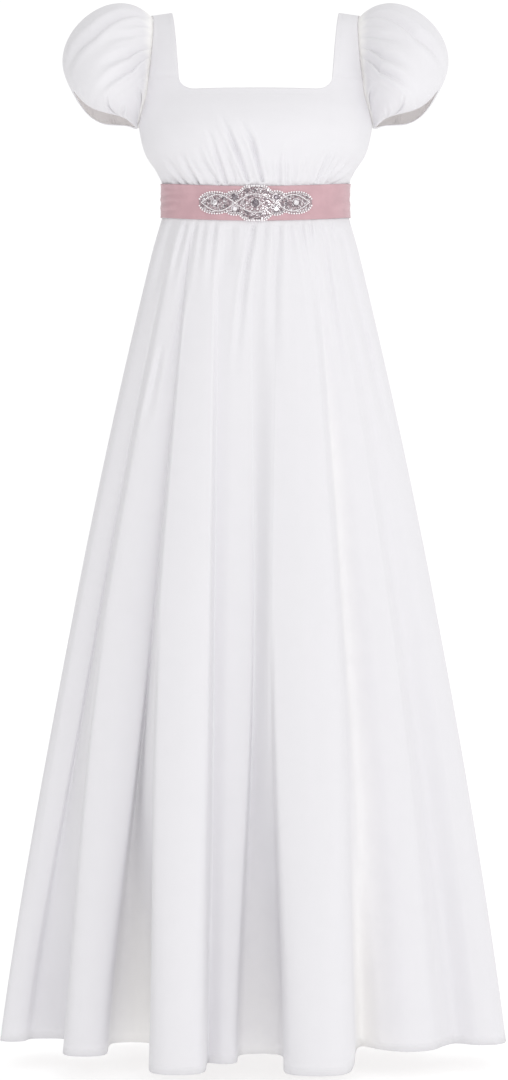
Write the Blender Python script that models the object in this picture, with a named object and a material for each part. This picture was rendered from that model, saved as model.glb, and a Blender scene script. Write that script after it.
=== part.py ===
"""A high-waisted regency gown with puff sleeves, a pleated floor-length skirt and a jewelled sash.

The gown stands hollow, as it is worn, with its neck, armholes, cuffs and hem open.
Units are metres and +Z is up. The origin is midway between the two shoulder tops, where a
wearer holds the gown up. The front faces -Y, and the wearer's left is +X.
Angles run round the body from 0 at the centre front through +90 degrees at +X.
"""

import math

import bmesh
import bpy
import numpy as np
from mathutils import Matrix, Vector

# Driving dimensions
CLOTH = 0.0015
SEAM = 0.0003
SIDE_SEAM = 0.0005
HEM_LEVEL = -1.445
HEM_RISE = 0.010
WAIST_LEVEL = -0.2575
WAIST_DIP = 0.018
SASH_HEIGHT = 0.047
SASH_CLEARANCE = 0.0006
SHOULDER_SLOPE = 0.004
UNDERARM_LEVEL = -0.160
STRAP_ARC_HEIGHT = 0.140

# Horizontal sections of the bodice, a row for each level
SECTION_COLUMNS = ("level", "half_width", "front", "back", "squareness")
SECTIONS = (
    (-0.330, 0.1320, 0.1010, 0.0960, 2.10),
    (-0.280, 0.1300, 0.1000, 0.0950, 2.10),
    (-0.255, 0.1298, 0.1010, 0.0952, 2.10),
    (-0.237, 0.1306, 0.1085, 0.0960, 2.15),
    (-0.221, 0.1382, 0.1185, 0.0975, 2.20),
    (-0.199, 0.1526, 0.1290, 0.1010, 2.30),
    (-0.170, 0.1610, 0.1345, 0.1060, 2.35),
    (-0.145, 0.1640, 0.1275, 0.1090, 2.35),
    (-0.119, 0.1655, 0.1130, 0.1100, 2.35),
    (-0.085, 0.1660, 0.1030, 0.1090, 2.35),
)

# The upper edge of each bodice panel: a flat neckline, a rounded corner, a strap and an armhole
EDGE_COLUMNS = ("neck_level", "strap_level", "flat_half", "strap_in", "strap_out")
FRONT_EDGE = dict(zip(EDGE_COLUMNS, (-0.1187, -0.100, 0.082, 0.1055, 0.148)))
BACK_EDGE = dict(zip(EDGE_COLUMNS, (-0.104, -0.088, 0.094, 0.1150, 0.148)))
STRAP_TOP = (0.118, 0.146)
STRAP_WAIST_OUT = 0.1415

# Gathers under the bust: where each crease starts at the sash, where it ends, and its depth
GATHER_COLUMNS = ("sash_x", "top_x", "top_level", "depth")
GATHERS = (
    (-0.087, -0.127, -0.200, 0.0030),
    (-0.075, -0.105, -0.198, 0.0026),
    (-0.061, -0.083, -0.193, 0.0026),
    (-0.040, -0.064, -0.182, 0.0028),
    (-0.026, -0.046, -0.189, 0.0020),
    (-0.007, -0.049, -0.149, 0.0036),
    (0.003, -0.024, -0.196, 0.0020),
    (0.013, -0.026, -0.155, 0.0036),
    (0.034, 0.033, -0.206, 0.0022),
    (0.044, 0.046, -0.200, 0.0020),
    (0.057, 0.062, -0.206, 0.0020),
    (0.070, 0.083, -0.200, 0.0020),
    (0.082, 0.109, -0.193, 0.0028),
    (0.090, 0.121, -0.184, 0.0026),
    (0.097, 0.129, -0.193, 0.0026),
    (0.104, 0.134, -0.214, 0.0022),
)
GATHER_HALF_WIDTH = 0.0036

# Folds of the skirt, from the left side round the front and back: the angles at the waist and
# the places at the hem between which each crest lies, its depth, and that of the valley after it
FOLD_COLUMNS = ("waist_from", "waist_to", "hem_from", "hem_to", "crest", "valley")
FRONT_FOLDS = (
    (-84, -66, -0.358, -0.320, -0.020, 0.002),
    (-56, -44, -0.264, -0.203, -0.125, -0.030),
    (-37, -24, -0.142, -0.066, -0.250, -0.168),
    (-20, -5, -0.062, -0.025, -0.176, -0.112),
    (15, 33, 0.037, 0.126, -0.258, -0.052),
    (40, 48, 0.168, 0.250, -0.092, -0.050),
    (57, 82, 0.272, 0.350, -0.045, 0.070),
)
BACK_FOLDS = (
    (100, 112, 0.337, 0.272, 0.125, 0.070),
    (122, 138, 0.228, 0.150, 0.228, 0.115),
    (146, 166, 0.105, 0.034, 0.268, 0.150),
    (177, 200, -0.006, -0.086, 0.262, 0.120),
    (212, 232, -0.132, -0.212, 0.232, 0.085),
    (245, 259, -0.262, -0.334, 0.132, 0.045),
)
MEAN_DEPTH = 0.155
FLARE_BULGE = 0.34
FOLD_GROWTH = 1.45
VALLEY_INSET = 0.006
VALLEY_ANGLE = 1.5
NARROW_VALLEY = 0.050
CREST_ROUNDING = 0.16

# Puff sleeves: the cuff ring, the height of the puff over the straight line from seam to cuff
CUFF_CENTRE = (0.2130, 0.0, -0.1290)
CUFF_HALF_LENGTH = 0.0540
CUFF_HALF_DEPTH = 0.055
CUFF_SLOPE = math.radians(32.5)
CUFF_SAG_BACK, CUFF_SAG_FRONT, CUFF_SAG_LEAN = 0.0178, 0.0145, 1.1
PUFF_TOP = 0.0575
PUFF_UNDER = 0.001
PUFF_SIDE = 0.020
SLEEVE_SEAM = 0.0018
SLEEVE_GATHERS = 15
SLEEVE_GATHER_DEPTH = 0.0024
SLEEVE_CREASES = ((36, 0.0050, 10), (72, 0.0035, 9), (98, 0.0035, 9), (-40, 0.0045, 12))

# Mesh counts
NECK_STEPS, CORNER_STEPS, STRAP_STEPS, ARMHOLE_STEPS = 19, 3, 4, 5
BACK_NECK_STEPS = 6
BODICE_ROWS = 6
STRAP_ROWS = 5
SLEEVE_ROWS = 8
SKIRT_DROPS = (0.04, 0.08, 0.14, 0.23, 0.34, 0.47, 0.61, 0.76, 0.91, 1.05, 1.18)
FRONT_COLUMN, BACK_COLUMN = 0.0300, 0.0410
WAIST_COLUMN = 0.0085
SASH_STEPS, SASH_ROWS = 56, 4

# The jewelled applique: lobes of its outline, its raised ovals and its large stones
LOBE_COLUMNS = ("centre", "half_length", "half_height")
LOBES = (
    (-0.0540, 0.0220, 0.0155),
    (-0.0275, 0.0165, 0.0170),
    (0.0000, 0.0260, 0.0265),
    (0.0275, 0.0165, 0.0170),
    (0.0540, 0.0220, 0.0155),
)
OVALS = ((-0.0535, 0.0170, 0.0105), (0.0, 0.0200, 0.0110), (0.0535, 0.0170, 0.0105))
APPLIQUE_HALF_LENGTH = 0.0755
APPLIQUE_THICKNESS = 0.0016
OVAL_RISE = 0.0022
APPLIQUE_COLUMNS, APPLIQUE_ROWS = 34, 6
STONES = (
    ("upper_left", -0.0275, 0.0075, 0.0034),
    ("lower_left", -0.0275, -0.0075, 0.0034),
    ("upper_right", 0.0275, 0.0075, 0.0034),
    ("lower_right", 0.0275, -0.0075, 0.0034),
    ("left_oval", -0.0535, 0.0, 0.0040),
    ("centre", 0.0, 0.0, 0.0046),
    ("right_oval", 0.0535, 0.0, 0.0040),
)
STONE_HEIGHT = 0.0024
STONE_SIDES = 12

MATERIALS = {
    "cloth": ((0.93, 0.925, 0.94), 0.75, 0.0),
    "sash_satin": ((0.80, 0.55, 0.60), 0.45, 0.0),
    "silver": ((0.80, 0.79, 0.80), 0.25, 1.0),
    "crystal": ((0.92, 0.90, 0.94), 0.08, 0.0),
}


def clear_scene():
    for obj in list(bpy.data.objects):
        bpy.data.objects.remove(obj)


def material(name):
    """The named finish, made once."""
    found = bpy.data.materials.get(name)
    if found:
        return found
    colour, roughness, metallic = MATERIALS[name]
    made = bpy.data.materials.new(name)
    made.use_nodes = True
    shader = made.node_tree.nodes["Principled BSDF"]
    shader.inputs["Base Color"].default_value = (*colour, 1.0)
    shader.inputs["Roughness"].default_value = roughness
    shader.inputs["Metallic"].default_value = metallic
    return made


def smooth_step(low, high, value):
    t = np.clip((value - low) / (high - low), 0.0, 1.0)
    return t * t * (3 - 2 * t)


def smooth_curve(knots, values, at):
    """A smooth curve through values at knots, read at other places."""
    knots, values = np.asarray(knots, float), np.asarray(values, float)
    at = np.clip(np.asarray(at, float), knots[0], knots[-1])
    slopes = np.gradient(values, knots, axis=0)
    i = np.clip(np.searchsorted(knots, at) - 1, 0, len(knots) - 2)
    step = knots[i + 1] - knots[i]
    t = (at - knots[i]) / step
    if values.ndim > 1:
        step, t = step[..., None], t[..., None]
    before, after = 1 - t, t
    return (
        values[i] * before * before * (1 + 2 * t)
        + values[i + 1] * after * after * (3 - 2 * t)
        + slopes[i] * step * t * before * before
        - slopes[i + 1] * step * before * t * t
    )


def section_at(level):
    """The bodice's section at a level, as a dict of its named columns."""
    rows = np.array(SECTIONS)
    values = smooth_curve(rows[:, 0], rows[:, 1:], level)
    return dict(zip(SECTION_COLUMNS[1:], np.moveaxis(values, -1, 0)))


def body_point(angle, level, offset=0.0):
    """A point of the bodice's surface, moved outwards by offset."""
    section = section_at(level)
    power = 2.0 / section["squareness"]
    sine, cosine = math.sin(angle), math.cos(angle)
    depth = section["front"] if cosine > 0 else section["back"]
    x = section["half_width"] * math.copysign(abs(sine) ** power, sine)
    y = -depth * math.copysign(abs(cosine) ** power, cosine)
    outward = Vector((x / section["half_width"] ** 2, y / depth**2, 0.0)).normalized()
    return Vector((x, y, level)) + outward * offset


def angle_of(x, level):
    """The angle on the front of the section at which the surface reaches x."""
    section = section_at(level)
    ratio = min(1.0, abs(x) / section["half_width"])
    return math.copysign(math.asin(ratio ** (section["squareness"] / 2.0)), x)


def seam_level(angle):
    """The level of the waist seam, which dips at the centre front."""
    return WAIST_LEVEL - WAIST_DIP * ((1 + math.cos(angle)) / 2) ** 2


def new_object(name, bm, finish):
    bmesh.ops.recalc_face_normals(bm, faces=bm.faces)
    mesh = bpy.data.meshes.new(name)
    bm.to_mesh(mesh)
    bm.free()
    obj = bpy.data.objects.new(name, mesh)
    bpy.context.scene.collection.objects.link(obj)
    mesh.materials.append(material(finish))
    return obj


def cloth_wall(obj, thickness=CLOTH):
    """Gives a sheet its thickness, half to each side."""
    solid = obj.modifiers.new("cloth", "SOLIDIFY")
    solid.thickness = thickness
    solid.offset = 0.0
    obj.data.shade_smooth()
    return obj


def add_rows(bm, rows, closed=False, first=None):
    """Joins rows of points by quads. first is a row of vertices that is already there."""
    made = [first] if first else []
    made += [[bm.verts.new(point) for point in row] for row in rows]
    for lower, upper in zip(made, made[1:]):
        count = len(lower) if closed else len(lower) - 1
        for i in range(count):
            j = (i + 1) % len(lower)
            bm.faces.new((lower[i], lower[j], upper[j], upper[i]))
    return made


def edge_columns(edge, neck_steps):
    """(angle, top level) of each column of half a bodice panel, from its centre to its side."""
    level = edge["strap_level"]
    columns = []
    for x in np.linspace(0, edge["flat_half"], neck_steps + 1):
        columns.append((angle_of(x, level), edge["neck_level"]))
    for turn in np.linspace(0, math.pi / 2, CORNER_STEPS + 1)[1:]:
        x = edge["flat_half"] + (edge["strap_in"] - edge["flat_half"]) * math.sin(turn)
        rise = (level - edge["neck_level"]) * (1 - math.cos(turn))
        columns.append((angle_of(x, level), edge["neck_level"] + rise))
    for x in np.linspace(edge["strap_in"], edge["strap_out"], STRAP_STEPS + 1)[1:]:
        columns.append((angle_of(x, level), level))
    outer = math.cos(angle_of(edge["strap_out"], level))
    power = section_at(level)["squareness"] / 2.0
    for turn in np.linspace(0, math.pi / 2, ARMHOLE_STEPS + 1)[1:]:
        angle = math.acos(outer * max(0.0, math.cos(turn)) ** power)
        columns.append((angle, level + (UNDERARM_LEVEL - level) * math.sin(turn)))
    return columns


def gather_depth(x, level):
    """How far the bust gathers draw the cloth in at a place on the front."""
    depth = 0.0
    sash_top = WAIST_LEVEL - WAIST_DIP + SASH_HEIGHT / 2
    for row in GATHERS:
        crease = dict(zip(GATHER_COLUMNS, row))
        along = (level - sash_top) / (crease["top_level"] - sash_top)
        middle = crease["sash_x"] + (crease["top_x"] - crease["sash_x"]) * max(along, 0.0)
        fade = (1 - smooth_step(0.4, 1.0, along)) * smooth_step(-0.5, 0.0, along)
        depth += crease["depth"] * fade * math.exp(-(((x - middle) / GATHER_HALF_WIDTH) ** 2))
    return depth


def strap_row(edge, turn, side, facing, count):
    """A row across a strap. turn runs from its foot to pi/2 at the shoulder top."""
    arc_foot = math.asin(1 + edge["strap_level"] / STRAP_ARC_HEIGHT)
    share = (turn - arc_foot) / (math.pi / 2 - arc_foot)
    level = -STRAP_ARC_HEIGHT + STRAP_ARC_HEIGHT * math.sin(turn)
    depth_ratio = math.cos(turn) / math.cos(arc_foot)
    section = section_at(edge["strap_level"])
    depth = section["front"] if facing < 0 else section["back"]
    row = []
    for across in np.linspace(0, 1, count + 1):
        foot_x = edge["strap_in"] + (edge["strap_out"] - edge["strap_in"]) * across
        top_x = STRAP_TOP[0] + (STRAP_TOP[1] - STRAP_TOP[0]) * across
        narrow = (STRAP_WAIST_OUT - (edge["strap_out"] + STRAP_TOP[1]) / 2) * across
        x = foot_x + (top_x - foot_x) * share + 4 * narrow * share * (1 - share)
        ratio = (foot_x / section["half_width"]) ** section["squareness"]
        curve = (1 - ratio) ** (1 / section["squareness"])
        y = facing * depth * depth_ratio * curve ** math.cos(turn)
        drop = SHOULDER_SLOPE * across * smooth_step(0.0, 1.0, share)
        row.append(Vector((side * x, y, level - drop)))
    return row


def strap_rows(edge, side, facing, count=STRAP_ROWS):
    """The rows of a strap above its foot, up to the shoulder seam."""
    arc_foot = math.asin(1 + edge["strap_level"] / STRAP_ARC_HEIGHT)
    rows = [
        strap_row(edge, turn, side, facing, STRAP_STEPS)
        for turn in np.linspace(arc_foot, math.pi / 2, count + 1)[1:]
    ]
    for point in rows[-1]:
        point.y += facing * SIDE_SEAM / 2
    return rows


def bodice_panel(name, edge, neck_steps, facing):
    """The front or the back of the bodice, with its two straps cut in one."""
    half = edge_columns(edge, neck_steps)
    columns = [(-angle, top) for angle, top in half[:0:-1]] + half
    rows = []
    for i in range(-SASH_ROWS // 2, BODICE_ROWS + 1):
        row = []
        for angle, top in columns:
            turned = angle if facing < 0 else math.pi - angle
            sash_top = seam_level(turned) + SASH_HEIGHT / 2
            level = sash_top + (top - sash_top) * i / BODICE_ROWS
            if i < 0:
                level = sash_top + SASH_HEIGHT * i / SASH_ROWS
            if i == -SASH_ROWS // 2:
                level += SEAM / 2
            point = body_point(turned, level)
            if facing < 0:
                point = body_point(turned, level, -gather_depth(point.x, level))
            if abs(angle) > math.pi / 2 - 1e-6:
                point.y = facing * SIDE_SEAM / 2
            row.append(point)
        rows.append(row)
    bm = bmesh.new()
    top_row = add_rows(bm, rows)[-1]
    for side in (-1, 1):
        first = neck_steps + CORNER_STEPS
        middle = len(half) - 1
        picked = [top_row[middle + side * (first + i)] for i in range(STRAP_STEPS + 1)]
        add_rows(bm, strap_rows(edge, side, facing), first=picked)
    return cloth_wall(new_object(name, bm, "cloth"))


def armhole_half(edge, facing):
    """Points of the +X armhole on one panel, from the shoulder top to the underarm."""
    points = [row[-1] for row in reversed(strap_rows(edge, 1, facing))]
    half = edge_columns(edge, 1)
    for angle, top in half[-ARMHOLE_STEPS - 1 :]:
        points.append(body_point(angle if facing < 0 else math.pi - angle, top))
    return points


def armhole_loop():
    """(point, tangent out of the panel) round the +X armhole, two for each edge of the panels."""
    front, back = armhole_half(FRONT_EDGE, -1), armhole_half(BACK_EDGE, 1)
    corners = front + back[-2:0:-1]
    loop = []
    for i, corner in enumerate(corners):
        after = corners[(i + 1) % len(corners)]
        loop += [corner, (corner + after) / 2]
    return loop


def sleeve_ring_angles(loop):
    """The turn round the sleeve at each armhole point: 0 at the shoulder, pi at the underarm."""
    steps = [(loop[(i + 1) % len(loop)] - loop[i]).length for i in range(len(loop))]
    lowest = min(range(len(loop)), key=lambda i: loop[i].z)
    down, up = sum(steps[:lowest]), sum(steps[lowest:])
    angles, run = [], 0.0
    for i, step in enumerate(steps):
        share = run / down if i < lowest else 1 + (run - down) / up
        angles.append(math.pi * share)
        run += step
    return angles


def cuff_point(turn):
    """The cuff's ring: 0 at its outer end, a quarter turn at the front."""
    along = math.cos(turn) * CUFF_HALF_LENGTH
    centre = Vector(CUFF_CENTRE)
    ring = Vector((math.cos(CUFF_SLOPE) * along, -CUFF_HALF_DEPTH * math.sin(turn), 0.0))
    sag = CUFF_SAG_FRONT if math.sin(turn) > 0 else CUFF_SAG_BACK
    sag *= math.sin(turn) ** 2 * (1 + CUFF_SAG_LEAN * math.cos(turn))
    ring.z = math.sin(CUFF_SLOPE) * along - sag
    return centre + ring


def sleeve_point(seam, turn, share):
    """A point of the +X sleeve on the way from its armhole seam to its cuff."""
    cuff = cuff_point(turn)
    top_ness = (1 + math.cos(turn)) / 2
    height = PUFF_UNDER + (PUFF_TOP - PUFF_UNDER) * top_ness
    height += PUFF_SIDE * math.sin(turn) ** 2
    upward = Vector((0.62, 0.0, 0.78)) if math.cos(turn) > 0 else Vector((-0.10, 0.0, 0.30))
    bulge = upward * math.cos(turn) + Vector((0.25 * abs(math.sin(turn)), -math.sin(turn), 0.0))
    bulge.normalize()
    arc = math.pi * share
    roundness = smooth_step(0.05, 0.5, top_ness)
    run = share + ((1 - math.cos(arc)) / 2 - share) * roundness
    rise = math.sin(arc)
    centre_turn = math.degrees(math.remainder(turn, 2 * math.pi))
    dent = 0.0
    for middle, depth, width in SLEEVE_CREASES:
        away = (centre_turn - middle) / width
        dent += depth * math.exp(-away * away) * math.sin(arc) ** 0.7
    near_seam = math.exp(-share / 0.22) + math.exp(-(1 - share) / 0.16)
    wave = math.cos(SLEEVE_GATHERS * turn) * SLEEVE_GATHER_DEPTH * near_seam
    wave *= math.sin(arc) ** 0.4 * smooth_step(0.08, 0.4, top_ness)
    return seam + (cuff - seam) * run + bulge * (height * rise - dent + wave)


def sleeve(name, side):
    """A puff sleeve, gathered into the armhole and again at the cuff."""
    loop = armhole_loop()
    turns = sleeve_ring_angles(loop)
    away = SEAM + CLOTH / 2 + 0.0001
    middle = sum(loop, Vector()) / len(loop)
    starts = []
    for i, seam in enumerate(loop):
        along = (loop[(i + 1) % len(loop)] - loop[i - 1]).normalized()
        inward = (middle - seam) - along * (middle - seam).dot(along)
        starts.append(seam + inward.normalized() * away + Vector((SEAM * 2, 0, 0)))
    rows = [starts]
    heads = [start + Vector((SLEEVE_SEAM, 0, 0)) for start in starts]
    for share in np.linspace(0, 1, SLEEVE_ROWS + 1):
        rows.append([sleeve_point(head, turn, share) for head, turn in zip(heads, turns)])
    for row in rows:
        for point in row:
            point.x *= side
    bm = bmesh.new()
    add_rows(bm, rows, closed=True)
    return cloth_wall(new_object(name, bm, "cloth"))


def fold_points(folds):
    """Waist angle, hem x and hem y of the points that shape each fold and the valley after it."""
    points = []
    for row, following in zip(folds, folds[1:] + folds[:1]):
        fold, after = dict(zip(FOLD_COLUMNS, row)), dict(zip(FOLD_COLUMNS, following))
        way = 1.0 if fold["hem_to"] > fold["hem_from"] else -1.0
        width = fold["hem_to"] - fold["hem_from"]
        middle_angle = (fold["waist_from"] + fold["waist_to"]) / 2
        edge = fold["crest"] - math.copysign(CREST_ROUNDING * abs(width), fold["crest"])
        after_way = 1.0 if after["hem_to"] > after["hem_from"] else -1.0
        gap = after["hem_from"] - fold["hem_to"]
        waist_next = after["waist_from"] + (360 if after["waist_from"] < fold["waist_to"] else 0)
        points += [
            (fold["waist_from"], fold["hem_from"] + 0.08 * width, edge),
            (middle_angle, fold["hem_from"] + 0.5 * width, fold["crest"]),
            (fold["waist_to"], fold["hem_to"] - 0.08 * width, edge),
        ]
        if way == after_way and abs(gap) > NARROW_VALLEY:
            inset = VALLEY_INSET * way
            points += [
                (fold["waist_to"] + VALLEY_ANGLE, fold["hem_to"] + inset, fold["valley"]),
                (waist_next - VALLEY_ANGLE, after["hem_from"] - inset, fold["valley"]),
            ]
        else:
            waist_middle = (fold["waist_to"] + waist_next) / 2
            points.append((waist_middle, fold["hem_to"] + gap / 2, fold["valley"]))
    return points


def hem_curve():
    """Knots, waist angles and hem places of the closed curve that the hem follows."""
    points = np.array(fold_points(FRONT_FOLDS + BACK_FOLDS))
    wrapped = np.vstack([points[-4:], points, points[:5]])
    wrapped[:4, 0] -= 360
    wrapped[-5:, 0] += 360
    chords = np.sqrt(np.linalg.norm(np.diff(wrapped[:, 1:], axis=0), axis=1))
    knots = np.concatenate([[0], np.cumsum(chords)])
    return knots - knots[4], wrapped


def skirt_columns(low_angle, high_angle, hem_step):
    """Places on the hem curve for the columns of a panel between two waist angles."""
    knots, points = hem_curve()
    fine = np.linspace(knots[0], knots[-1], 6000)
    waist = np.interp(fine, knots, points[:, 0])
    hem = smooth_curve(knots, points[:, 1:], fine)
    inside = (waist >= low_angle) & (waist <= high_angle)
    fine, waist, hem = fine[inside], waist[inside], hem[inside]
    on_hem = np.linalg.norm(np.diff(hem, axis=0), axis=1) / hem_step
    at_waist = np.radians(np.diff(waist)) * 0.12 / WAIST_COLUMN
    run = np.concatenate([[0], np.cumsum(np.hypot(on_hem, at_waist))])
    count = round(run[-1])
    return np.interp(np.linspace(0, run[-1], count + 1), run, fine)


def skirt_drops():
    """The rows of the skirt by their drop below the waist seam; the first follow the sash."""
    under_sash = [SASH_HEIGHT * i / SASH_ROWS for i in range(SASH_ROWS // 2 + 1)]
    return [*under_sash, *SKIRT_DROPS]


def skirt_point(place, drop):
    """A point of the skirt at a place on the hem curve, drop metres below the waist seam."""
    knots, points = hem_curve()
    angle = math.radians(float(np.interp(place, knots, points[:, 0])))
    hem_x, hem_y = smooth_curve(knots, points[:, 1:], place)
    mean_y = -MEAN_DEPTH * math.cos(angle)
    top = seam_level(angle) - SEAM / 2
    depth_share = min(1.0, abs(hem_y) / 0.25)
    hem = HEM_LEVEL + HEM_RISE * (1 - depth_share)
    level = top + (hem - top) * drop / SKIRT_DROPS[-1]
    waist = body_point(angle, max(level, SECTIONS[0][0]))
    free = max(0.0, drop - SASH_HEIGHT / 2) / (SKIRT_DROPS[-1] - SASH_HEIGHT / 2)
    flare = free + FLARE_BULGE * free * (1 - free)
    x = waist.x + (hem_x - waist.x) * flare
    y = waist.y + (mean_y - waist.y) * flare + (hem_y - mean_y) * free**FOLD_GROWTH
    return Vector((x, y, level))


def skirt_panel(name, low_angle, high_angle, hem_step):
    """The front or the back of the skirt, from the waist seam to the hem."""
    columns = skirt_columns(low_angle, high_angle, hem_step)
    rows = [[skirt_point(place, drop) for place in columns] for drop in skirt_drops()]
    for row in rows:
        row[0] += (row[1] - row[0]).normalized() * SEAM / 2
        row[-1] += (row[-2] - row[-1]).normalized() * SEAM / 2
    bm = bmesh.new()
    add_rows(bm, rows)
    return cloth_wall(new_object(name, bm, "cloth"))


def sash_point(angle, up, offset=0.0):
    """A point over the sash's middle surface, up metres above the waist seam."""
    row = min(max((up / SASH_HEIGHT + 0.5) * SASH_ROWS, 0.0), SASH_ROWS)
    lower = min(int(row), SASH_ROWS - 1)
    level = seam_level(angle) - SASH_HEIGHT / 2
    out = CLOTH + SASH_CLEARANCE + offset
    below = body_point(angle, level + SASH_HEIGHT * lower / SASH_ROWS, out)
    above = body_point(angle, level + SASH_HEIGHT * (lower + 1) / SASH_ROWS, out)
    return below.lerp(above, row - lower)


def sash():
    """The satin sash, a band round the waist seam."""
    rows = []
    for up in np.linspace(-SASH_HEIGHT / 2, SASH_HEIGHT / 2, SASH_ROWS + 1):
        turn = np.linspace(-math.pi, math.pi, SASH_STEPS + 1)[:-1]
        rows.append([sash_point(angle, up) for angle in turn])
    bm = bmesh.new()
    add_rows(bm, rows, closed=True)
    return cloth_wall(new_object("sash", bm, "sash_satin"))


def applique_half_height(x):
    tallest = 0.0022
    for row in LOBES:
        lobe = dict(zip(LOBE_COLUMNS, row))
        away = abs(x - lobe["centre"]) / lobe["half_length"]
        if away < 1:
            tallest = max(tallest, lobe["half_height"] * (1 - away**2.2) ** (1 / 2.2))
    return tallest


def applique_rise(x, up):
    """How far the raised ovals stand over the backing."""
    rise = 0.0
    for centre, half_length, half_height in OVALS:
        away = math.hypot((x - centre) / half_length, up / half_height)
        rise = max(rise, OVAL_RISE * (1 - smooth_step(0.45, 1.0, away)))
    return rise


def on_sash(x, up, offset):
    """A point over the front of the sash, offset metres out from its face."""
    angle = angle_of(x, WAIST_LEVEL - WAIST_DIP)
    return sash_point(angle, up, CLOTH / 2 + offset)


def applique():
    """The applique's backing, with its ovals raised, on the front of the sash."""
    front, back = [], []
    for x in np.linspace(-APPLIQUE_HALF_LENGTH, APPLIQUE_HALF_LENGTH, APPLIQUE_COLUMNS + 1):
        half = applique_half_height(x)
        ups = np.linspace(-half, half, APPLIQUE_ROWS + 1)
        lift = SEAM + APPLIQUE_THICKNESS
        front.append([on_sash(x, up, lift + applique_rise(x, up)) for up in ups])
        back.append([on_sash(x, up, SEAM) for up in ups])
    bm = bmesh.new()
    front_rows, back_rows = add_rows(bm, front), add_rows(bm, back)
    front_edges = [e for e in bm.edges if e.is_boundary and e.verts[0] in set(sum(front_rows, []))]
    back_edges = [e for e in bm.edges if e.is_boundary and e.verts[0] in set(sum(back_rows, []))]
    bmesh.ops.bridge_loops(bm, edges=front_edges + back_edges)
    return new_object("applique", bm, "silver")


def stone(name, x, up, radius):
    """A large cut stone, set flat over the applique."""
    lift = SEAM + APPLIQUE_THICKNESS + applique_rise(x, up) + SEAM
    foot = on_sash(x, up, lift)
    outward = (on_sash(x, up, lift + 0.01) - foot).normalized()
    bm = bmesh.new()
    bmesh.ops.create_cone(
        bm,
        cap_ends=True,
        segments=STONE_SIDES,
        radius1=radius,
        radius2=radius * 0.55,
        depth=STONE_HEIGHT,
        matrix=Matrix.Translation((0, 0, STONE_HEIGHT / 2)),
    )
    obj = new_object("stone_" + name, bm, "crystal")
    obj.location = foot
    obj.rotation_euler = outward.to_track_quat("Z", "Y").to_euler()
    return obj


def main():
    clear_scene()
    bodice_panel("bodice_front", FRONT_EDGE, NECK_STEPS, -1)
    bodice_panel("bodice_back", BACK_EDGE, BACK_NECK_STEPS, 1)
    sleeve("sleeve_left", 1)
    sleeve("sleeve_right", -1)
    skirt_panel("skirt_front", -90, 90, FRONT_COLUMN)
    skirt_panel("skirt_back", 90, 270, BACK_COLUMN)
    sash()
    applique()
    for row in STONES:
        stone(*row)


main()
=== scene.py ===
"""A high-waisted regency gown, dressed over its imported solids.

White jersey, puff sleeves, a pink satin sash with a jewelled applique, and a long skirt that
falls in deep soft folds. Metres, +Z up, the gown's front towards -Y, the wearer's left at +X.
Angles run round the body from 0 at the centre front through +90 degrees at +X.
"""

import math

import bmesh
import bpy
import numpy as np
from mathutils import Matrix, Vector


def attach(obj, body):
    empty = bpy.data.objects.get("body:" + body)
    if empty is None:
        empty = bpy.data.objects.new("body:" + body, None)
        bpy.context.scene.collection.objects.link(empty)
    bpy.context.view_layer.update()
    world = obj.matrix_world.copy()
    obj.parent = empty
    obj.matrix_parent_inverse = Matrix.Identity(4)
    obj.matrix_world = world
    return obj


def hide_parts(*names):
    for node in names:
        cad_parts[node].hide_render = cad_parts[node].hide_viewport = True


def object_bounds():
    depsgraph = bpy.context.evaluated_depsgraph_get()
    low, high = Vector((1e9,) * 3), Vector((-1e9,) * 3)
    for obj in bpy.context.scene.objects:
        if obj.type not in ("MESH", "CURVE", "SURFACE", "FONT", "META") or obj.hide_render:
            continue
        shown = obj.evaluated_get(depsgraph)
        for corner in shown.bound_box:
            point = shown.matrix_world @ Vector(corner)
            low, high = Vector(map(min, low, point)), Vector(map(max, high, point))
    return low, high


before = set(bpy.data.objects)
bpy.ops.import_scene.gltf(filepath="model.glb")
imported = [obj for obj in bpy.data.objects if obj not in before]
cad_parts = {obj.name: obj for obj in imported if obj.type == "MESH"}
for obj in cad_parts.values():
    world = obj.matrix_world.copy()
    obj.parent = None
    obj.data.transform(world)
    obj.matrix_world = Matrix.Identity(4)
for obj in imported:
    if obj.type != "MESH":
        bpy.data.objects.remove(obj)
cad_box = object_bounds()

# The studio: a plain pale floor just under the hem and a white room that lights the gown from
# all round, with a soft lamp high on the right and a weaker one low beside the camera. The
# camera stands well back, level with the middle of the gown, as in the photograph.
scene = bpy.context.scene
scene.view_settings.view_transform = "Standard"
scene.view_settings.look = "None"

room = bpy.data.worlds.new("white_room")
room.use_nodes = True
sky = room.node_tree.nodes
wires = room.node_tree.links
toward = sky.new("ShaderNodeTexCoord")
split = sky.new("ShaderNodeSeparateXYZ")
height = sky.new("ShaderNodeMath")
height.operation = "ABSOLUTE"
product = sky.new("ShaderNodeMath")
product.operation = "MULTIPLY"
wires.new(toward.outputs["Generated"], split.inputs[0])
wires.new(split.outputs["Z"], height.inputs[0])
# The room is dimmer overhead and underfoot, and on the left
ends_dimming = (0.15, 0.45, 1.04, 0.92)
left_dimming = (-0.95, -0.2, 0.5, 1.0)
sources = ((height.outputs[0], ends_dimming), (split.outputs["X"], left_dimming))
for product_input, (source, limits) in zip(product.inputs, sources):
    dimming = sky.new("ShaderNodeMapRange")
    dimming.interpolation_type = "SMOOTHSTEP"
    for socket, value in zip(("From Min", "From Max", "To Min", "To Max"), limits):
        dimming.inputs[socket].default_value = value
    wires.new(source, dimming.inputs["Value"])
    wires.new(dimming.outputs[0], product_input)
wires.new(product.outputs[0], sky["Background"].inputs["Strength"])
sky["Background"].inputs["Color"].default_value = (1.0, 1.0, 1.0, 1.0)
scene.world = room

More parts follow.
